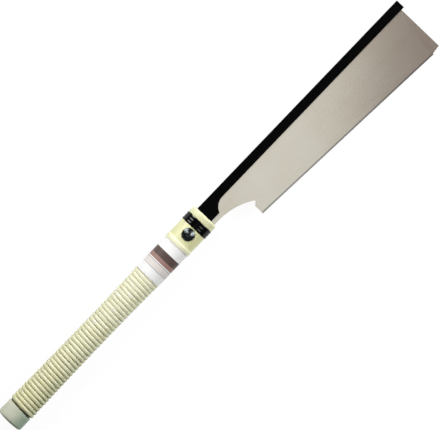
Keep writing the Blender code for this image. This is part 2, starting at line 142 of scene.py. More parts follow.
def stretched(tree, where, *scale):
    """Coordinates scaled along each axis, so that a pattern runs long."""
    return add(tree, "Mapping", values={"Scale": scale}, links={0: where}).outputs[0]


def mapped(tree, source, given=(0.0, 1.0), wanted=(0.0, 1.0)):
    """A value brought from the range given to the range wanted, and held at its ends."""
    values = dict(enumerate((*given, *wanted), start=1))
    return add(tree, "MapRange", values=values, links={0: source}).outputs[0]


def maths(tree, operation, *sources):
    """One step of arithmetic on values."""
    return add(tree, "Math", operation=operation, links=dict(enumerate(sources))).outputs[0]


def ramp(tree, source, *stops):
    """Colours along a value from 0 to 1: each stop is a place and an sRGB colour."""
    stops = [(at, linear(code)) for at, code in stops]
    return add(tree, "ValToRGB", links={0: source}, stops=stops).outputs[0]


def tinted(tree, colour, by):
    """A colour multiplied by another."""
    made = add(tree, "Mix", data_type="RGBA", blend_type="MULTIPLY", values={0: 1.0}, links={
        6: colour, 7: by,
    })
    return made.outputs[2]


def blended(tree, colour, code, share):
    """A colour that gives way, by a share, to an sRGB colour."""
    made = add(tree, "Mix", data_type="RGBA", values={7: linear(code)}, links={
        0: share, 6: colour,
    })
    return made.outputs[2]


def bumped(tree, height, strength, distance):
    """A bump from a pattern, with its distance in metres."""
    values = {"Strength": strength, "Distance": distance}
    return add(tree, "Bump", values=values, links={"Height": height}).outputs[0]


def surface(made, values, colour, roughness, normal=None):
    """Close a material: fixed values of its shader, and the patterns that it takes."""
    links = {"Base Color": colour, "Roughness": roughness}
    if normal is not None:
        links["Normal"] = normal
    body = add(made.node_tree, "BsdfPrincipled", values=values, links=links)
    add(made.node_tree, "OutputMaterial", links={0: body.outputs[0]})
    print(made.name, len(made.node_tree.nodes), "nodes")


print("white is", linear("#FFFFFF"), "mid grey is", round(linear("#808080")[0], 3))

# %% [markdown]
# ## Camera
#
# The saw is seen square from above, laid corner to corner in the picture. A long lens from three
# metres keeps the turns of the cane nearly straight. The camera only turns about the vertical, so
# the handle's axis rises to the upper right at the angle that the picture shows.

# %% Place the camera over the saw
LENS = 238.3
CAMERA_X, CAMERA_Y = 9.0, 9.1
CAMERA_Z = 13.65 + 3000.0
PICTURE_TURN = -46.2
scene = bpy.context.scene
scene.view_settings.view_transform = "Standard"
lens = bpy.data.cameras.new("camera")
lens.lens = LENS
lens.sensor_width = 36.0
lens.clip_end = 20.0
camera = bpy.data.objects.new("camera", lens)
camera.location = Vector((CAMERA_X, CAMERA_Y, CAMERA_Z)) * MM
camera.rotation_euler = (0.0, 0.0, math.radians(PICTURE_TURN))
scene.collection.objects.link(camera)
scene.camera = camera
print("camera", [round(v, 4) for v in camera.location])

# %% [markdown]
# ## Light
#
# Two soft boxes light the saw. The key stands low on the spine's side and makes the round handle
# pale above. The fill stands low beyond the toe on the teeth's side, so that each turn of the cane
# is bright in front and shaded behind. Both show as glints on the black ring. The flat blade
# mirrors only what hangs right above it, so two faint panels over the camera, one white and one
# dim and warm, make it bright at the root and darker at the toe.

# %% Hang the lamps
HEAD_AT = (-0.03, 0.02, 0.01)
PANEL_Z = 3.4
PANEL_UP = 0.225
PANEL_TALL = 0.85


def lamp(name, place, aim, size, radiance, colour="#FFFFFF"):
    """An area lamp of a size in metres, with the brightness that its face shows."""
    light = bpy.data.lights.new(name, "AREA")
    light.shape = "RECTANGLE"
    light.size, light.size_y = size
    light.energy = math.pi * size[0] * size[1] * radiance
    light.color = linear(colour)[:3]
    made = bpy.data.objects.new(name, light)
    made.location = place
    made.rotation_euler = (Vector(aim) - Vector(place)).to_track_quat("-Z", "Y").to_euler()
    scene.collection.objects.link(made)
    print(name, round(light.energy, 1), "W")
    return made


def over_blade(right, up):
    """A spot above the camera, so many metres right and up in the picture."""
    turn = Matrix.Rotation(camera.rotation_euler.z, 2)
    return (*(camera.location.xy + turn @ Vector((right, up))), PANEL_Z)


lamp("key", (0.34, 0.77, 0.56), HEAD_AT, (0.5, 0.5), 12.0)
lamp("fill", (1.12, -0.68, 0.87), HEAD_AT, (0.7, 0.7), 13.9)
for name, right, width, radiance, colour in (
    ("panel white", 0.057, 0.514, 1.155, "#FFFBF2"),
    ("panel warm", 0.557, 0.486, 0.143, "#FF9559"),
):
    spot = over_blade(right, PANEL_UP)
    panel = lamp(name, spot, (spot[0], spot[1], 0.0), (width, PANEL_TALL), radiance, colour)
    panel.rotation_euler.z += camera.rotation_euler.z

# %% Give the room its soft glow
world = bpy.data.worlds.new("studio")
scene.world = world
world.use_nodes = True
sky = world.node_tree
sky.nodes.clear()
aim = add(sky, "TexCoord")
parts = add(sky, "SeparateXYZ", links={0: aim.outputs["Generated"]})
walls = ramp(sky, parts.outputs["Z"], (0.0, "#5D6561"), (1.0, "#4C4B49"))
glow = add(sky, "Background", links={0: walls}, values={1: 1.0})
add(sky, "OutputWorld", links={0: glow.outputs[0]})
print("world", len(sky.nodes), "nodes")

# %% [markdown]
# ## Floor
#
# The saw lies on a plain pale table. The table glows for the camera and for what is mirrored, which
# makes the background white without lighting the saw more, and the part of it that is plain paper
# keeps a soft shadow.

# %% Lay the floor
FLOOR_HALF = 6.0
GLOW = 1.18
PAPER_SHARE = 0.2
floor_shape = bmesh.new()
bmesh.ops.create_grid(floor_shape, x_segments=1, y_segments=1, size=FLOOR_HALF)
floor_mesh = bpy.data.meshes.new("floor")
floor_shape.to_mesh(floor_mesh)
floor_shape.free()
floor = bpy.data.objects.new("floor", floor_mesh)
scene.collection.objects.link(floor)

table, tree = begin("pale table, seamless paper")[:2]
paper = add(tree, "BsdfDiffuse", values={"Color": linear("#A8AEA9")})
bright = add(tree, "Emission", values={"Color": linear("#FFFFFF"), "Strength": GLOW})
shown = add(tree, "MixShader", values={0: PAPER_SHARE}, links={
    1: bright.outputs[0], 2: paper.outputs[0],
})
path = add(tree, "LightPath").outputs
seen = maths(tree, "MAXIMUM", path["Is Camera Ray"], path["Is Glossy Ray"])
ray = maths(tree, "MAXIMUM", seen, path["Is Transmission Ray"])
mixed = add(tree, "MixShader", links={0: ray, 1: paper.outputs[0], 2: shown.outputs[0]})
add(tree, "OutputMaterial", links={0: mixed.outputs[0]})
floor_mesh.materials.append(table)
print("floor", len(floor_mesh.polygons), "face")

# %% [markdown]
# ## Tools for shaping
#
# Nearly every piece starts as a flat outline: a few corners, some of them rounded, and here and
# there an arc. A turned piece spins that outline round the handle's axis, and a plate extrudes it.
# Slots, seats and bores are carved out afterwards, as they would be on the bench.

# %% Draw an outline


def arc_of(shape, centre, start, degrees, steps):
    """Spin one vertex round a centre, and give the vertices of its arc in order."""
    chain = [shape.verts.new((*start, 0.0))]
    bmesh.ops.spin(
        shape, geom=chain[:], cent=(*centre, 0.0), axis=(0.0, 0.0, 1.0),
        angle=math.radians(degrees), steps=steps,
    )
    while len(chain) <= steps:
        beside = [edge.other_vert(chain[-1]) for edge in chain[-1].link_edges]
        chain.append(next(vert for vert in beside if vert not in chain))
    return chain


def outline_face(shape, corners, segments=6):
    """A flat face from corners and arcs.

    A corner is (x, y) or (x, y, rounding), and an arc is (centre, start, degrees, steps).
    """
    around = []
    rounded = []
    for corner in corners:
        if len(corner) == 4:
            around += arc_of(shape, *corner)
            continue
        around.append(shape.verts.new((corner[0], corner[1], 0.0)))
        if len(corner) == 3:
            rounded.append((around[-1], corner[2]))
    shape.faces.new(around)
    for vert, reach in rounded:
        bmesh.ops.bevel(
            shape, geom=[vert], offset=reach, offset_type="OFFSET", segments=segments,
            profile=0.5, affect="VERTICES", material=-1,
        )
    return shape


# %% Turn an outline, extrude it, and carve it


def clean(shape):
    """Merge doubles and point every face outwards."""
    bmesh.ops.remove_doubles(shape, verts=shape.verts[:], dist=0.002)
    bmesh.ops.dissolve_degenerate(shape, edges=shape.edges[:], dist=0.0005)
    bmesh.ops.recalc_face_normals(shape, faces=shape.faces[:])
    return shape


def turned(corners, steps, oval=1.0, segments=6):
    """Spin an outline of (x, radius) corners once round the X axis, then flatten it to an oval."""
    shape = outline_face(bmesh.new(), corners, segments)
    bmesh.ops.delete(shape, geom=shape.faces[:], context="FACES_ONLY")
    on_axis = [e for e in shape.edges if max(abs(v.co.y) for v in e.verts) < 0.001]
    bmesh.ops.delete(shape, geom=on_axis, context="EDGES")
    bmesh.ops.spin(
        shape, geom=shape.verts[:] + shape.edges[:], cent=(0.0, 0.0, 0.0), axis=(1.0, 0.0, 0.0),
        angle=math.tau, steps=steps, use_merge=True,
    )
    clean(shape)
    bmesh.ops.scale(shape, vec=(1.0, 1.0, oval), verts=shape.verts[:])
    return shape


def upright(shape):
    """Stand a turned shape up on the screw's axis."""
    turn = Matrix.Rotation(math.radians(-90.0), 3, "Y")
    bmesh.ops.rotate(shape, cent=(0.0, 0.0, 0.0), matrix=turn, verts=shape.verts[:])
    bmesh.ops.translate(shape, vec=(*SCREW, 0.0), verts=shape.verts[:])
    return shape


def plate(corners, thickness):
    """Extrude an outline to a flat plate about Z."""
    shape = outline_face(bmesh.new(), corners)
    made = bmesh.ops.extrude_face_region(shape, geom=shape.faces[:])
    lifted = [item for item in made["geom"] if isinstance(item, bmesh.types.BMVert)]
    bmesh.ops.translate(shape, vec=(0.0, 0.0, thickness), verts=lifted)
    bmesh.ops.translate(shape, vec=(0.0, 0.0, -thickness / 2), verts=shape.verts[:])
    return clean(shape)


def block(low, high):
    """A box between two corners."""
    shape = bmesh.new()
    bmesh.ops.create_cube(shape, size=1.0)
    bmesh.ops.scale(shape, vec=Vector(high) - Vector(low), verts=shape.verts[:])
    bmesh.ops.translate(shape, vec=(Vector(high) + Vector(low)) / 2, verts=shape.verts[:])
    return shape


def rod(spot, low, high, radius, sides):
    """An upright rod or prism over a spot (x, y)."""
    shape = bmesh.new()
    bmesh.ops.create_cone(
        shape, cap_ends=True, segments=sides, radius1=radius, radius2=radius, depth=high - low,
    )
    bmesh.ops.translate(shape, vec=(*spot, (low + high) / 2), verts=shape.verts[:])
    return shape


def carve(shape, *cutters):
    """Take closed cutters away from a shape, and give what is left."""
    helpers = []
    for item in (shape, *cutters):
        mesh = bpy.data.meshes.new("helper")
        item.to_mesh(mesh)
        item.free()
        helpers.append(bpy.data.objects.new("helper", mesh))
        scene.collection.objects.link(helpers[-1])
    for cutter in helpers[1:]:
        boolean = helpers[0].modifiers.new("carve", "BOOLEAN")
        boolean.operation = "DIFFERENCE"
        boolean.solver = "EXACT"
        boolean.object = cutter
    graph = bpy.context.evaluated_depsgraph_get()
    left = bpy.data.meshes.new_from_object(helpers[0].evaluated_get(graph))
    result = bmesh.new()
    result.from_mesh(left)
    for mesh in [left] + [helper.data for helper in helpers]:
        bpy.data.meshes.remove(mesh)
    return clean(result)


def ease(shape, offset, chosen, segments=2):
    """Round the chosen edges a little."""
    bmesh.ops.bevel(
        shape, geom=[edge for edge in shape.edges if chosen(edge)], offset=offset,
        offset_type="OFFSET", segments=segments, profile=0.5, affect="EDGES",
        clamp_overlap=True, material=-1,
    )
    return shape


def sharp(edge, degrees=40.0):
    """Whether two faces meet at this edge at more than an angle."""
    return len(edge.link_faces) == 2 and edge.calc_face_angle(0.0) > math.radians(degrees)


# %% Hang a finished piece in the frame


def finish_piece(name, shape, material, body, slot, *nodes, smooth=32.0):
    """Bring a shape from its millimetre drawing to its place, and let it ride with its body."""
    clean(shape)
    bmesh.ops.scale(shape, vec=(MM, MM, MM), verts=shape.verts[:])
    bmesh.ops.translate(shape, vec=FRONT, verts=shape.verts[:])
    mesh = bpy.data.meshes.new(name)
    shape.to_mesh(mesh)
    shape.free()
    mesh.shade_smooth()
    mesh.set_sharp_from_angle(angle=math.radians(smooth))
    mesh.materials.append(material)
    piece = bpy.data.objects.new(name, mesh)
    scene.collection.objects.link(piece)
    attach(piece, body)
    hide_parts(*nodes)
    print(name, len(mesh.polygons), "faces")


# %% [markdown]
# ## Head
#
# The head is one long moulding of cream plastic: a rounded nose, a groove for the black ring, a
# bead that slopes off behind, and a thinner sleeve that the label covers. A lathe outline gives
# all of that at once. The slot for the tang, the screw's seat and bore, and the nut's pocket are
# then carved out.

# %% Cream plastic, moulded
# ABS from a polished mould: a soft sheen, faint waves where it cooled, and slight yellowing.
HEAD_SPAN = (-0.0465, -0.0025)
cream, tree, spot = begin("cream ABS, moulded")
waves = ramp(tree, noise(tree, 24.0, 3.0, spot), (0.3, "#F8F7F0"), (0.7, "#FFFFFF"))
# The bare strip of sleeve before the bead is painted paler to lift the shade on its slope, and the
# bead paler as a painted highlight where it faces the lamps; the nose is a little less yellow than
# the middle.
axis = add(tree, "SeparateXYZ", links={0: spot})
along = mapped(tree, axis.outputs["X"], given=HEAD_SPAN)
depth = ramp(
    tree, along, (0.0, "#FEFDE9"), (0.07, "#FCFBE2"), (0.1, "#F9F8D2"), (0.16, "#F9F8D2"),
    (0.2, "#E8E7B6"), (0.8, "#E8E7B6"), (0.86, "#E8E7BD"), (1.0, "#E8E7BF"),
)
# The mould's grain is 0.1 mm, drawn at 0.9 mm so that it shows.
grain = noise(tree, 0.9, 2.0, spot)
surface(
    cream, {"IOR": 1.53}, tinted(tree, depth, waves), mapped(tree, grain, wanted=(0.28, 0.42)),
    bumped(tree, grain, 0.06, 0.0002),
)

# %% Turn the head and carve its slot, seat and pocket
NOSE_R = 15.7
HEAD_R = 15.6
BEAD_R = 16.0
COLLAR_R = 15.6
SLEEVE_R = 14.85
RING_R = 15.25
BEAD_FRONT_X = -38.3
BEAD_REAR_X = -40.9
SOCKET_X = -44.6
SOCKET_R = 11.5
GAP = 0.25
SLOT_END_X = -37.0
SLOT_LOW, SLOT_TOP = -8.65, 12.65
SLOT_HALF = 2.65
KERF_LOW = -13.5
KERF_HALF = 0.45
BORE_R = 3.3
SEAT_Z = 11.0
SEAT_R = 7.3
POCKET_Z = -6.6
POCKET_FLAT = 5.3
PIN_AT = (-65.0, 0.0)
PIN_BORE_R = 2.3
BEYOND = 20.0
HEX = math.cos(math.pi / 6)
head = turned(
    [
        (0.0, 0.0),
        (0.0, NOSE_R, 2.4),
        (RING_FRONT_X + GAP, NOSE_R, 0.25),
        (RING_FRONT_X + GAP, RING_R - 0.2),
        (RING_REAR_X - GAP, RING_R - 0.2),
        (RING_REAR_X - GAP, HEAD_R, 0.25),
        (BEAD_FRONT_X + 0.5, HEAD_R - 0.1, 0.3),
        (BEAD_FRONT_X, BEAD_R, 0.55),
        (BEAD_REAR_X, BEAD_R, 0.9),
        (LABEL_X + 0.1, COLLAR_R, 0.1),
        (LABEL_X + 0.1, SLEEVE_R),
        (LABEL_X - 0.3, SLEEVE_R),
        (LABEL_X - 0.3, SLEEVE_R + 0.25),
        (SLEEVE_X, SLEEVE_R + 0.25, 0.2),
        (SLEEVE_X, SOCKET_R, 0.3),
        (SOCKET_X, SOCKET_R),
        (SOCKET_X, 0.0),
    ],
    steps=128, oval=OVAL,
)
head = carve(
    head,
    block((SLOT_END_X, SLOT_LOW, -SLOT_HALF), (5.0, SLOT_TOP, SLOT_HALF)),
    block((SLOT_END_X, KERF_LOW, -KERF_HALF), (5.0, -8.0, KERF_HALF)),
    rod(SCREW, -BEYOND, BEYOND, BORE_R, 48),
    rod(SCREW, SEAT_Z, BEYOND, SEAT_R, 96),
    rod(SCREW, -BEYOND, POCKET_Z, POCKET_FLAT / HEX, 6),
    rod(PIN_AT, -BEYOND, BEYOND, PIN_BORE_R, 32),
)
finish_piece("head_moulding", head, cream, "handle", "head_plastic", "handle_head")

# %% [markdown]
# ## Ring
#
# A glossy black ring of three beads sits in the head's groove and keeps the slotted nose from
# splitting. Each bead is a blunt corner of the outline, rounded until the two sides meet.

# %% Black plastic, moulded glossy
# Polished black ABS: nearly all that the eye sees of it is the mirrored light.
black_gloss, tree, spot = begin("black ABS, moulded glossy")
haze = noise(tree, 7.0, 4.0, spot)
surface(
    black_gloss, {"IOR": 1.5, "Specular IOR Level": 0.26},
    ramp(tree, haze, (0.3, "#020203"), (0.75, "#050506")), mapped(tree, haze, wanted=(0.05, 0.1)),
)

# %% Turn the ring
RING_FOOT_R = 15.9
RING_PEAK_R = 16.68
BEAD_STEP = 3.4
BEAD_HALF = 1.4
BEAD_ROUND = 1.52
beads = []
for count in range(3):
    at = RING_FRONT_X - BEAD_HALF - BEAD_STEP * count
    beads += [
        (at + BEAD_HALF, RING_FOOT_R),
        (at, RING_PEAK_R, BEAD_ROUND),
        (at - BEAD_HALF, RING_FOOT_R),
    ]
ring = turned(
    [(RING_FRONT_X, RING_R, 0.2), *beads, (RING_REAR_X, RING_R, 0.2)],
    steps=128, oval=OVAL, segments=12,
)
print("ring half width", round(max(v.co.y for v in ring.verts), 3))
finish_piece("ring_beads", ring, black_gloss, "handle", "ferrule_black", "ferrule")

# %% [markdown]
# ## Label
#
# A strip of coated white paper is wrapped once round the sleeve and glued on itself underneath.
# Spinning one edge a little past a full turn, with the end lifted a paper's thickness, makes the
# lap, and solidify gives the sheet its thickness. Plain bands stand in its printed places.

# %% White paper, coated
# Coated label paper: smooth and bright, with soft clouds of fibre, and matt ink in the bands.
label_white, tree, spot = begin("coated paper, wrapped")
fibre = noise(tree, 3.0, 5.0, spot)
sheet = ramp(tree, fibre, (0.3, "#FAF9F8"), (0.7, "#FFFFFF"))
axis = add(tree, "SeparateXYZ", links={0: spot})
along = mapped(tree, axis.outputs["X"], given=(FRONT.x + SLEEVE_X * MM, FRONT.x + LABEL_X * MM))
bands = ramp(
    tree, along, (0.0, "#FFFFFF"), (0.227, "#A7A09D"), (0.241, "#EAE2DF"), (0.4, "#A7A09D"),
    (0.415, "#FFFFFF"), (0.44, "#A5837A"), (0.548, "#5C4B47"), (0.735, "#FFFFFF"),
)
bands.node.color_ramp.interpolation = "CONSTANT"
surface(
    label_white, {"IOR": 1.48}, tinted(tree, sheet, bands),
    mapped(tree, fibre, wanted=(0.38, 0.52)), bumped(tree, fibre, 0.05, 0.0002),
)

# %% Wrap the label
PAPER = 0.14
LABEL_IN_R = 15.14
LIFT = 1.0 + (PAPER + 0.02) / LABEL_IN_R
WRAP, RISE, LAP = 355.0, 3.0, 36.0
label = bmesh.new()
ends = [label.verts.new((x, 0.0, -LABEL_IN_R)) for x in (SLEEVE_X, LABEL_X)]
label.edges.new(ends)
bmesh.ops.subdivide_edges(label, edges=label.edges[:], cuts=11)
wrap = bmesh.ops.spin(
    label, geom=label.verts[:] + label.edges[:], cent=(0.0, 0.0, 0.0), axis=(1.0, 0.0, 0.0),
    angle=math.radians(WRAP), steps=142,
)
last = [item for item in wrap["geom_last"] if isinstance(item, bmesh.types.BMEdge)]
step = bmesh.ops.extrude_edge_only(label, edges=last)["geom"]
lifted = [item for item in step if isinstance(item, bmesh.types.BMVert)]
bmesh.ops.scale(label, vec=(1.0, LIFT, LIFT), verts=lifted)
turn = Matrix.Rotation(math.radians(RISE), 3, "X")
bmesh.ops.rotate(label, cent=(0.0, 0.0, 0.0), matrix=turn, verts=lifted)
edge_on = [item for item in label.edges if all(v in lifted for v in item.verts)]
bmesh.ops.spin(
    label, geom=lifted + edge_on, cent=(0.0, 0.0, 0.0), axis=(1.0, 0.0, 0.0),
    angle=math.radians(LAP), steps=14,
)
bmesh.ops.recalc_face_normals(label, faces=label.faces[:])
bmesh.ops.solidify(label, geom=label.faces[:], thickness=-PAPER)
bmesh.ops.scale(label, vec=(1.0, 1.0, OVAL), verts=label.verts[:])
print("label half width", round(max(v.co.y for v in label.verts), 3))
finish_piece("label_wrap", label, label_white, "handle", "label_paper", "label_band")

# %% [markdown]
# ## Core
#
# Under the cane lies a waisted core of wood. Only slivers of it show in the grooves, so the frame's
# own solid is right as it is, and needs no more than its finish: straight grain that runs along the
# handle, with darker bands of late wood, all painted dark as the shade that fills the grooves.

# %% Magnolia wood, turned
# Plain wood painted dark as shade for the deep grooves: fine straight grain, matt, a little darker
# in the late wood.
wood, tree, spot = begin("magnolia wood, turned")
rings = noise(tree, 2.4, 5.0, stretched(tree, spot, 0.06, 1.0, 1.0))
surface(
    wood, {"IOR": 1.5}, ramp(tree, rings, (0.32, "#4C4733"), (0.5, "#5B553E"), (0.7, "#6A634A")),
    mapped(tree, rings, wanted=(0.6, 0.75)), bumped(tree, rings, 0.2, 0.0003),
)
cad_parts["handle_core"].material_slots[0].material = wood

# %% [markdown]
# ## Cane
#
# The grip is wound with two lengths of split cane, flat inside and round outside. Spin can climb
# as it turns, so one half-round section makes each length in a single sweep at one radius. The
# sweep is then laid on the waisted core, shaved to a taper where it meets the cap and the label,
# and given small swellings where the living cane had its joints. Its crown is high at the butt,
# where the turns stand out, and flatter at the head.

# %% Peeled cane, wound
# Peeled rattan: long pale fibres along the strip, a dull sheen, lighter at its swollen joints.
cane, tree, spot = begin("peeled cane, wound")
strip = add(tree, "UVMap", uv_map="strip").outputs[0]
# Fibres are 0.1 mm across, drawn at 0.6 mm so that they show.
fibres = noise(tree, 0.6, 3.0, stretched(tree, strip, 0.05, 1.0, 1.0))
patches = noise(tree, 9.0, 2.0, stretched(tree, strip, 0.25, 0.4, 1.0))
pale = ramp(tree, fibres, (0.3, "#EFEECE"), (0.55, "#F5F4DA"), (0.75, "#F9F8E4"))
aged = ramp(tree, patches, (0.35, "#FFFFFF"), (0.7, "#F6F3E6"))
joint = add(tree, "Attribute", attribute_name="joint").outputs["Fac"]
knuckle = blended(tree, tinted(tree, pale, aged), "#F6F4E4", joint)
# Painted shade: the cane is drawn darker towards the butt, where less light falls.
axis = add(tree, "SeparateXYZ", links={0: spot}).outputs
along = mapped(tree, axis["X"], given=(-0.277, -0.09))
shaded_to_butt = tinted(tree, knuckle, ramp(tree, along, (0.0, "#EFEEDC"), (1.0, "#FFFFFF")))
# Painted shade: near the butt the grooves are drawn a grey green, most on the side towards the
# teeth.
width = add(tree, "SeparateXYZ", links={0: strip}).outputs["Y"]
edge = mapped(tree, maths(tree, "ABSOLUTE", width), given=(0.0007, 0.0021))
rear = mapped(tree, axis["X"], given=(-0.15, -0.25))
teeth_side = mapped(tree, axis["Y"], given=(FRONT.y + 0.002, FRONT.y - 0.012))
groove_shade = maths(tree, "MULTIPLY", maths(tree, "MULTIPLY", rear, teeth_side), edge)
surface(
    cane, {"IOR": 1.5}, blended(tree, shaded_to_butt, "#A3AB86", groove_shade),
    mapped(tree, fibres, wanted=(0.42, 0.6)), bumped(tree, fibres, 0.25, 0.0002),
)

# %% The waisted grip
WAIST_X = -150.0
WAIST_R = 14.5
BUTT_SWELL = 1.3
HEAD_SWELL = 0.8
WIND_REAR_X = CAP_RIM_X + 0.3
WIND_FRONT_X = SLEEVE_X - 0.3


def grip_radius(x):
    """Half width over the cane: widest at the butt, waisted, and fuller again at the head."""
    if x < WAIST_X:
        return WAIST_R + BUTT_SWELL * ((WAIST_X - x) / (WAIST_X - WIND_REAR_X)) ** 2
    return WAIST_R + HEAD_SWELL * ((x - WAIST_X) / (WIND_FRONT_X - WAIST_X)) ** 2


print("grip", [round(grip_radius(x), 2) for x in (WIND_REAR_X, WAIST_X, WIND_FRONT_X)])

# %% Wind the two lengths
CANE_WIDTH = 4.38
CANE_EDGE = 0.9
CROWN_REAR = 1.1
CROWN_FRONT = 0.46
CANE_PITCH = 4.536
CANE_LEAD = 0.303
CANE_STEPS = 48
FIRST_X = station("cane_winding_rear", 0) + 2.025
TURN_MM = 92.0
SWEEP_R = 13.0
END_GAP = 0.12
JOINT_MM = 2.4
JOINTS = (4.7, 9.21, 13.8, 17.55, 21.75, 25.38, 30.31, 33.42, 35.3, 38.8)


def half_round(shape):
    """The strip's section, flat on the core and round outside."""
    half = CANE_WIDTH / 2
    bend = (half ** 2 + CROWN_REAR ** 2) / (2.0 * CROWN_REAR)
    sweep = 2.0 * math.degrees(math.asin(half / bend))
    centre = (0.0, SWEEP_R + CANE_EDGE + CROWN_REAR - bend)
    start = (half, SWEEP_R + CANE_EDGE)
    return outline_face(shape, [(-half, SWEEP_R), (half, SWEEP_R), (centre, start, sweep, 10)])


def lay_on_core(shape):
    """Move the sweep on to the waisted core, and note where along the strip each vertex is."""
    joint = shape.verts.layers.float.new("joint")
    places = {}
    for vert in shape.verts:
        angle = math.atan2(vert.co.y, vert.co.z) / math.tau + CANE_LEAD
        turn = angle + round((vert.co.x - FIRST_X) / CANE_PITCH - angle)
        along = FIRST_X + turn * CANE_PITCH
        across = vert.co.x - along
        out = vert.co.yz.length - SWEEP_R
        way = (along - WIND_REAR_X) / (WIND_FRONT_X - WIND_REAR_X)
        crown = CROWN_REAR + (CROWN_FRONT - CROWN_REAR) * min(max(way, 0.0), 1.0)
        out = min(out, CANE_EDGE) + max(out - CANE_EDGE, 0.0) * crown / CROWN_REAR
        near = sum(math.exp(-((turn - at) * TURN_MM / JOINT_MM) ** 2) for at in JOINTS)
        vert[joint] = min(1.0, near)
        places[vert] = (turn * TURN_MM * MM, across * MM)
        sway = 0.05 * math.sin(2.3 * turn) + 0.04 * math.sin(5.1 * turn + 1.0)
        swell = 1.0 + 0.07 * near + 0.03 * math.sin(1.7 * turn + 0.6)
        seat = grip_radius(along) - CANE_EDGE - crown - 0.1
        x = min(max(along + across + sway, CAP_RIM_X + END_GAP), SLEEVE_X - END_GAP)
        y = (seat + out * swell) * math.sin(math.tau * (turn - CANE_LEAD))
        z = (seat + out * swell) * math.cos(math.tau * (turn - CANE_LEAD)) * OVAL
        vert.co = (x, y, z)
    strip = shape.loops.layers.uv.new("strip")
    for face in shape.faces:
        for loop in face.loops:
            loop[strip].uv = places[loop.vert]


def wind(name, first, last, node):
    """Sweep the section from one turn to another, lay it on the core and close its ends."""
    shape = half_round(bmesh.new())
    bmesh.ops.delete(shape, geom=shape.faces[:], context="FACES_ONLY")
    steps = round((last - first) * CANE_STEPS)
    bmesh.ops.translate(shape, vec=(FIRST_X + first * CANE_PITCH, 0.0, 0.0), verts=shape.verts[:])
    turn = Matrix.Rotation(math.pi / 2 - math.tau * (first - CANE_LEAD), 3, "X")
    bmesh.ops.rotate(shape, cent=(0.0, 0.0, 0.0), matrix=turn, verts=shape.verts[:])
    climb = (last - first) * CANE_PITCH / steps
    bmesh.ops.spin(
        shape, geom=shape.verts[:] + shape.edges[:], cent=(0.0, 0.0, 0.0), axis=(-1.0, 0.0, 0.0),
        dvec=(climb, 0.0, 0.0), angle=math.tau * (last - first), steps=steps,
    )
    rims = [edge for edge in shape.edges if edge.is_boundary]
    bmesh.ops.holes_fill(shape, edges=rims)
    lay_on_core(shape)
    finish_piece(name, shape, cane, "handle", "cane", node, smooth=45.0)


wind("cane_rear", -0.1, 19.797, "cane_winding_rear")
wind("cane_front", 19.803, 41.45, "cane_winding_front")

# %% [markdown]
# ## Butt cap
#
# A plain pale cap closes the handle. It is a short turned cup: a flat end with a well-rounded
# edge, a straight side, and a socket for the core's tenon. Its rim is turned a little aslant, so
# that it follows the first turn of the cane.

# %% Pale plastic, moulded satin
# The same plastic as the head from a duller mould: greyer, satin, with handling marks.
cap_pale, tree, spot = begin("pale ABS, moulded satin")
marks = ramp(tree, noise(tree, 9.0, 4.0, spot), (0.3, "#F4F5F3"), (0.7, "#FFFFFF"))
# Painted shade: the side towards the teeth is drawn a darker, greener grey.
axis = add(tree, "SeparateXYZ", links={0: spot})
across = mapped(tree, axis.outputs["Y"], given=(FRONT.y - 0.013, FRONT.y + 0.013))
tone_with_side_shade = ramp(tree, across, (0.0, "#A6BCA7"), (0.5, "#D6DAC4"), (1.0, "#E4E5D0"))
# The mould's grain is 0.1 mm, drawn at 0.8 mm so that it shows.
grain = noise(tree, 0.8, 2.0, spot)
surface(
    cap_pale, {"IOR": 1.53}, tinted(tree, tone_with_side_shade, marks),
    mapped(tree, grain, wanted=(0.42, 0.58)), bumped(tree, grain, 0.08, 0.0002),
)

# %% Turn the cap
CAP_R = 14.9
CAP_SOCKET_R = 10.3
CAP_FLOOR_X = -286.4
RIM_SLANT = -3.7
cap = turned(
    [
        (BUTT_X, 0.0),
        (BUTT_X, CAP_R, 2.8),
        (CAP_RIM_X, CAP_R, 0.4),
        (CAP_RIM_X, CAP_SOCKET_R, 0.4),
        (CAP_FLOOR_X, CAP_SOCKET_R),
        (CAP_FLOOR_X, 0.0),
    ],
    steps=128, oval=OVAL,
)
rim = [vert for vert in cap.verts if vert.co.x > CAP_RIM_X - 0.6]
slant = Matrix.Rotation(math.radians(RIM_SLANT), 3, "Z")
bmesh.ops.rotate(cap, cent=(CAP_RIM_X, 0.0, 0.0), matrix=slant, verts=rim)
finish_piece("butt_cup", cap, cap_pale, "handle", "cap_plastic", "butt_cap")

# %% [markdown]
# ## Spine
#
# The spine is a strip of steel folded over the blade's back and lacquered black. At the root it
# runs out into a broad tang. A plate with that outline, rounded along the fold and slotted from
# below, gives the folded sheet.

# %% Black lacquer on steel
# Baked black lacquer: deep and smooth, with a slight orange peel that breaks up its reflections.
lacquer, tree, spot = begin("black lacquer, baked on steel")
peel = noise(tree, 2.2, 2.0, spot)
surface(
    lacquer, {"IOR": 1.5, "Specular IOR Level": 0.04},
    ramp(tree, peel, (0.3, "#030303"), (0.75, "#060607")), mapped(tree, peel, wanted=(0.3, 0.42)),
    bumped(tree, peel, 0.06, 0.0002),
)

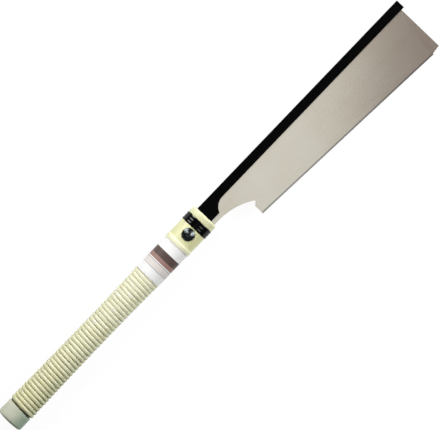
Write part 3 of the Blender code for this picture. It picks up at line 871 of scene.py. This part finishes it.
# %% Fold the spine
TANG_X = station("spine", 0)
SPINE_TIP_X = station("spine", 1)
SPINE_TOP = 11.3
SPINE_LOW = 1.1
SPINE_THICK = 2.6
ROOT_LOW = -8.35
ROOT_ARC_R = 15.0
ROOT_ARC = (26.5, SPINE_LOW - ROOT_ARC_R)
root_sweep = 90.0 - math.degrees(math.asin((ROOT_LOW - ROOT_ARC[1]) / ROOT_ARC_R))
FOLD_ROUND = 0.95
FOLD_WALL = 1.1
FOLD_GAP_HALF = 0.25
LINED_X = 0.4
THINNED_HALF = SPINE_THICK / 2 - 0.1
FORK_R = 3.3
fork_low = SCREW.y - FORK_R
fork_top = SCREW.y + FORK_R
spine = plate(
    [
        (TANG_X, SPINE_TOP),
        (SPINE_TIP_X, SPINE_TOP, 0.6),
        (SPINE_TIP_X, SPINE_LOW, 0.3),
        (ROOT_ARC, (ROOT_ARC[0], SPINE_LOW), root_sweep, 20),
        (TANG_X, ROOT_LOW),
        (TANG_X, fork_low),
        (SCREW, (SCREW.x, fork_low), 180.0, 16),
        (TANG_X, fork_top),
    ],
    SPINE_THICK,
)
ease(
    spine, FOLD_ROUND, segments=6,
    chosen=lambda e: min(v.co.y for v in e.verts) > SPINE_TOP - 0.01 and e.calc_length() > 50.0,
)
spine = carve(
    spine,
    block(
        (TANG_X - 5.0, ROOT_LOW - 5.0, -FOLD_GAP_HALF),
        (SPINE_TIP_X + 5.0, SPINE_TOP - FOLD_WALL, FOLD_GAP_HALF),
    ),
    block((TANG_X - 5.0, -BEYOND, THINNED_HALF), (LINED_X, BEYOND, 5.0)),
    block((TANG_X - 5.0, -BEYOND, -5.0), (LINED_X, BEYOND, -THINNED_HALF)),
)
finish_piece("spine_fold", spine, lacquer, "blade_unit", "spine_lacquer", "spine")

# %% [markdown]
# ## Blade
#
# The blade is a thin ground plate. Its tooth edge is cut into short lengths, each is pulled down,
# and its middle is drawn to a tooth that leans to the handle. The tips are then set, one to each
# side in turn, as a saw maker sets them so that the plate runs free in its cut.

# %% Saw steel, ground and polished
# Ground spring steel: long fine scratches along the blade, and a darker tooth line, partly the
# hardened teeth's own colour and partly painted shade for the dark that the teeth's flanks reflect.
# A thin film of varnish against rust scatters some light, so the steel looks pale from the sides as
# well.
TOOTH_SLOPE = 3.24
TOOTH_DARK_SPAN = (-0.0183, -0.017)
steel, tree, spot = begin("saw steel, ground and polished")
# The grinding lines are 0.05 mm, drawn at 0.8 mm so that they show.
lines = noise(tree, 0.8, 4.0, stretched(tree, spot, 0.012, 1.0, 1.0))
tone = ramp(tree, lines, (0.3, "#C3C2BB"), (0.7, "#C9C8C2"))
film = ramp(tree, noise(tree, 38.0, 2.0, spot), (0.3, "#F9F7F3"), (0.7, "#FFFFFF"))
# The tooth line drops 13.6 mm in 240 mm, so its distance is read across that slope.
level = add(tree, "Mapping", vector_type="POINT", values={
    "Rotation": (0.0, 0.0, math.radians(TOOTH_SLOPE)),
}, links={0: spot})
over = add(tree, "SeparateXYZ", links={0: level.outputs[0]})
# The tooth line's darkness is partly hardened steel and partly painted shade for the teeth's dark
# reflections.
toothline_dark = mapped(tree, over.outputs["Y"], given=TOOTH_DARK_SPAN, wanted=(1.0, 0.0))
surface(
    steel, {"Metallic": 0.82}, blended(tree, tinted(tree, tone, film), "#7C7D80", toothline_dark),
    mapped(tree, lines, wanted=(0.12, 0.155)), bumped(tree, lines, 0.006, 0.0001),
)

# %% Cut the blade's outline
BLADE_THICK = 0.3
BLADE_TOP = 9.9
TANG_LOW = -13.2
TANG_ARC_R = 74.0
TANG_ARC = (5.9, TANG_LOW - TANG_ARC_R)
NOTCH = Vector((45.9, -26.35))
NOTCH_R = 0.9
HEEL = Vector((43.0, -41.3))
HEEL_TOP = -29.9
TOOTH_END = Vector((283.0, -54.9))
TOE_X = 293.2
TOE_LOW = -53.6
TOOTH_BAND = 1.5
TOOTH_DEPTH = 0.8
TEETH = 200
hollow_end = math.degrees(math.acos((NOTCH.x + 0.675 - TANG_ARC[0]) / TANG_ARC_R))
notch_start = NOTCH + Matrix.Rotation(math.radians(35.0), 2) @ Vector((NOTCH_R, 0.0))
blade = bmesh.new()
outline_face(blade, [
    (TANG_X, BLADE_TOP),
    (TANG_X, fork_top),
    (SCREW, (SCREW.x, fork_top), -180.0, 16),
    (TANG_X, fork_low),
    (TANG_X, TANG_LOW),
    (TANG_ARC, (TANG_ARC[0], TANG_LOW), hollow_end - 90.0, 24),
    (NOTCH, notch_start, -85.0, 8),
    (HEEL.x, HEEL_TOP, 0.4),
    (HEEL.x, HEEL.y + TOOTH_BAND),
    (TOOTH_END.x, TOOTH_END.y + TOOTH_BAND),
    (TOE_X, TOE_LOW + TOOTH_BAND * 0.9),
    (TOE_X, BLADE_TOP),
])
print("blade outline", len(blade.verts), "vertices")

# %% Draw the teeth
LEAN = -0.25
tooth_line = [
    e for e in blade.edges
    if e.calc_length() > 200.0 and max(v.co.y for v in e.verts) < -30.0
]
cut = bmesh.ops.subdivide_edges(blade, edges=tooth_line, cuts=TEETH - 1)["geom_split"]
lengths = [item for item in cut if isinstance(item, bmesh.types.BMEdge)]
pulled = bmesh.ops.extrude_edge_only(blade, edges=lengths)["geom"]
roots = {item for item in pulled if isinstance(item, bmesh.types.BMVert)}
bmesh.ops.translate(blade, vec=(0.0, TOOTH_DEPTH - TOOTH_BAND, 0.0), verts=list(roots))
lower = [e for e in blade.edges if roots.issuperset(e.verts)]
middles = bmesh.ops.subdivide_edges(blade, edges=lower, cuts=1)["geom_inner"]
tips = [item for item in middles if isinstance(item, bmesh.types.BMVert)]
pitch = (TOOTH_END - HEEL) / TEETH
lean = pitch * LEAN
bmesh.ops.translate(blade, vec=(lean.x, lean.y - TOOTH_DEPTH, 0.0), verts=tips)
print("teeth", len(tips), "pitch", round(pitch.length, 3), "mm")

# %% Give the plate its thickness and set the teeth
SET = 0.08
thick = bmesh.ops.extrude_face_region(blade, geom=blade.faces[:])["geom"]
upper = [item for item in thick if isinstance(item, bmesh.types.BMVert)]
bmesh.ops.translate(blade, vec=(0.0, 0.0, BLADE_THICK), verts=upper)
bmesh.ops.translate(blade, vec=(0.0, 0.0, -BLADE_THICK / 2), verts=blade.verts[:])
down = Vector((pitch.y, -pitch.x)).normalized()
points = [v for v in blade.verts if (v.co.xy - HEEL).dot(down) > -0.1 and v.co.x < TOOTH_END.x]
for side in (0, 1):
    chosen = [v for v in points if int((v.co.x - HEEL.x) / pitch.x) % 2 == side]
    bmesh.ops.translate(blade, vec=(0.0, 0.0, SET * (1 - 2 * side)), verts=chosen)
finish_piece("blade_plate", blade, steel, "blade_unit", "blade_steel", "blade")

# %% [markdown]
# ## Liner and pin
#
# Two steel pieces work out of sight: a folded liner that the tang slides in, and a pin through the
# sleeve and the core's tenon. The frame's solids are right for both. They show only at the slot's
# mouth and when the blade is drawn out, so each gets the finish of its own sheet or wire.

# %% Rolled sheet and drawn wire
# Mill-finished steel: streaks along the way it was rolled or drawn, and a dull grey sheen.
for name, node, size, run in (
    ("mild steel, cold rolled", "tang_liner", 1.2, (0.08, 1.0, 1.0)),
    ("mild steel, drawn wire", "head_pin", 0.8, (1.0, 1.0, 0.08)),
):
    mild, tree, spot = begin(name)
    streaks = noise(tree, size, 4.0, stretched(tree, spot, *run))
    surface(
        mild, {"Metallic": 1.0}, ramp(tree, streaks, (0.3, "#9C9B98"), (0.7, "#B3B2AF")),
        mapped(tree, streaks, wanted=(0.34, 0.5)),
    )
    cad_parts[node].material_slots[0].material = mild

# %% [markdown]
# ## Screw, washer and nut
#
# One dark domed screw squeezes the head on the tang. Its dome is an arc in a turned outline, and
# a tapered cross is sunk in it for the driver. The washer under it and the nut on the far side are
# plain bright hardware, with the small rounded edges that pressing and tumbling leave.

# %% Black oxide on the screw, zinc on the washer and nut
# Black oxide is dark and oily. The lathe's rings on the dome draw each lamp out to a bright wedge.
oxide, tree, spot = begin("steel, turned, black oxide")
cloud = noise(tree, 2.5, 4.0, spot)
centred = add(tree, "Mapping", values={"Location": (*(-FRONT.xy - SCREW * MM), 0.0)}, links={
    0: spot,
})
# The rings are 0.1 mm apart, drawn at 0.3 mm so that they show.
rings = add(
    tree, "TexWave", wave_type="RINGS", rings_direction="Z",
    values={"Scale": math.tau / 20.0 * per_mm(0.3)}, links={0: centred.outputs[0]},
)
surface(
    oxide, {"Metallic": 1.0}, ramp(tree, cloud, (0.3, "#535859"), (0.7, "#646B6D")),
    mapped(tree, cloud, wanted=(0.14, 0.22)), bumped(tree, rings.outputs["Fac"], 0.5, 0.00006),
)

# Bright zinc is pale, bluish and cloudy.
zinc, tree, spot = begin("steel, bright zinc plate")
cloud = noise(tree, 1.8, 5.0, spot)
surface(
    zinc, {"Metallic": 1.0}, ramp(tree, cloud, (0.3, "#B9BABB"), (0.7, "#CDCDCB")),
    mapped(tree, cloud, wanted=(0.24, 0.4)),
)

# %% Turn the screw and sink its cross
SCREW_R = 2.9
SCREW_HEAD_R = 6.7
SCREW_END = screw_low.z
SCREW_SEAT = SEAT_Z + 0.9
DOME_RIM = SCREW_SEAT + 0.6
DOME = 2.3
RIDGES = 9
RIDGE_DEEP = 0.45
CROSS_LONG, CROSS_WIDE = 5.0, 1.1
CROSS_DEEP = 1.6
CROSS_TAPER = 0.72
dome_r = (SCREW_HEAD_R ** 2 + DOME ** 2) / (2.0 * DOME)
dome_sweep = math.degrees(math.asin(SCREW_HEAD_R / dome_r))
thread = []
for ridge in range(RIDGES):
    at = SCREW_END + 1.0 + ridge
    thread += [(at - 0.5, SCREW_R - RIDGE_DEEP), (at, SCREW_R)]
screw = turned(
    [
        (SCREW_END, 0.0),
        (SCREW_END, SCREW_R - 0.75),
        *thread,
        (SCREW_END + 9.6, SCREW_R - 0.1),
        (SCREW_SEAT, SCREW_R - 0.1),
        (SCREW_SEAT, SCREW_HEAD_R, 0.15),
        ((DOME_RIM + DOME - dome_r, 0.0), (DOME_RIM, SCREW_HEAD_R), -dome_sweep, 14),
    ],
    steps=64,
)
upright(screw)
arms = []
for length, width in ((CROSS_LONG, CROSS_WIDE), (CROSS_WIDE, CROSS_LONG)):
    x, y = length / 2, width / 2
    arm = block((-x, -y, DOME_RIM + DOME - CROSS_DEEP), (x, y, BEYOND))
    floor_of_arm = [v for v in arm.verts if v.co.z < DOME_RIM + DOME]
    bmesh.ops.scale(arm, vec=(CROSS_TAPER, CROSS_TAPER, 1.0), verts=floor_of_arm)
    bmesh.ops.translate(arm, vec=(*SCREW, 0.0), verts=arm.verts[:])
    arms.append(arm)
screw = carve(screw, *arms)
ease(screw, 0.12, lambda e: sharp(e, 50.0) and min(v.co.z for v in e.verts) > DOME_RIM + 0.2)
finish_piece("screw_domed", screw, oxide, "screw", "screw_steel", "clamp_screw")

# %% Press the washer and the nut
WASHER_LOW, WASHER_TOP = SEAT_Z + 0.15, SEAT_Z + 0.75
WASHER_BORE_R = 3.3
WASHER_R = 6.3
NUT_LOW, NUT_TOP = -11.9, -6.9
NUT_FLAT = 5.0
NUT_BORE_R = 3.2
washer = upright(
    turned(
        [
            (WASHER_LOW, WASHER_BORE_R, 0.15), (WASHER_LOW, WASHER_R, 0.2),
            (WASHER_TOP, WASHER_R, 0.2), (WASHER_TOP, WASHER_BORE_R, 0.15),
        ],
        steps=64,
    ),
)
finish_piece("washer_plated", washer, zinc, "washer", "washer_steel", "screw_washer")

nut = rod(SCREW, NUT_LOW, NUT_TOP, NUT_FLAT / HEX, 6)
ease(nut, 0.35, sharp, 3)
nut = carve(nut, rod(SCREW, -BEYOND, 0.0, NUT_BORE_R, 48))
finish_piece("nut_plated", nut, zinc, "handle", "nut_steel", "clamp_nut")
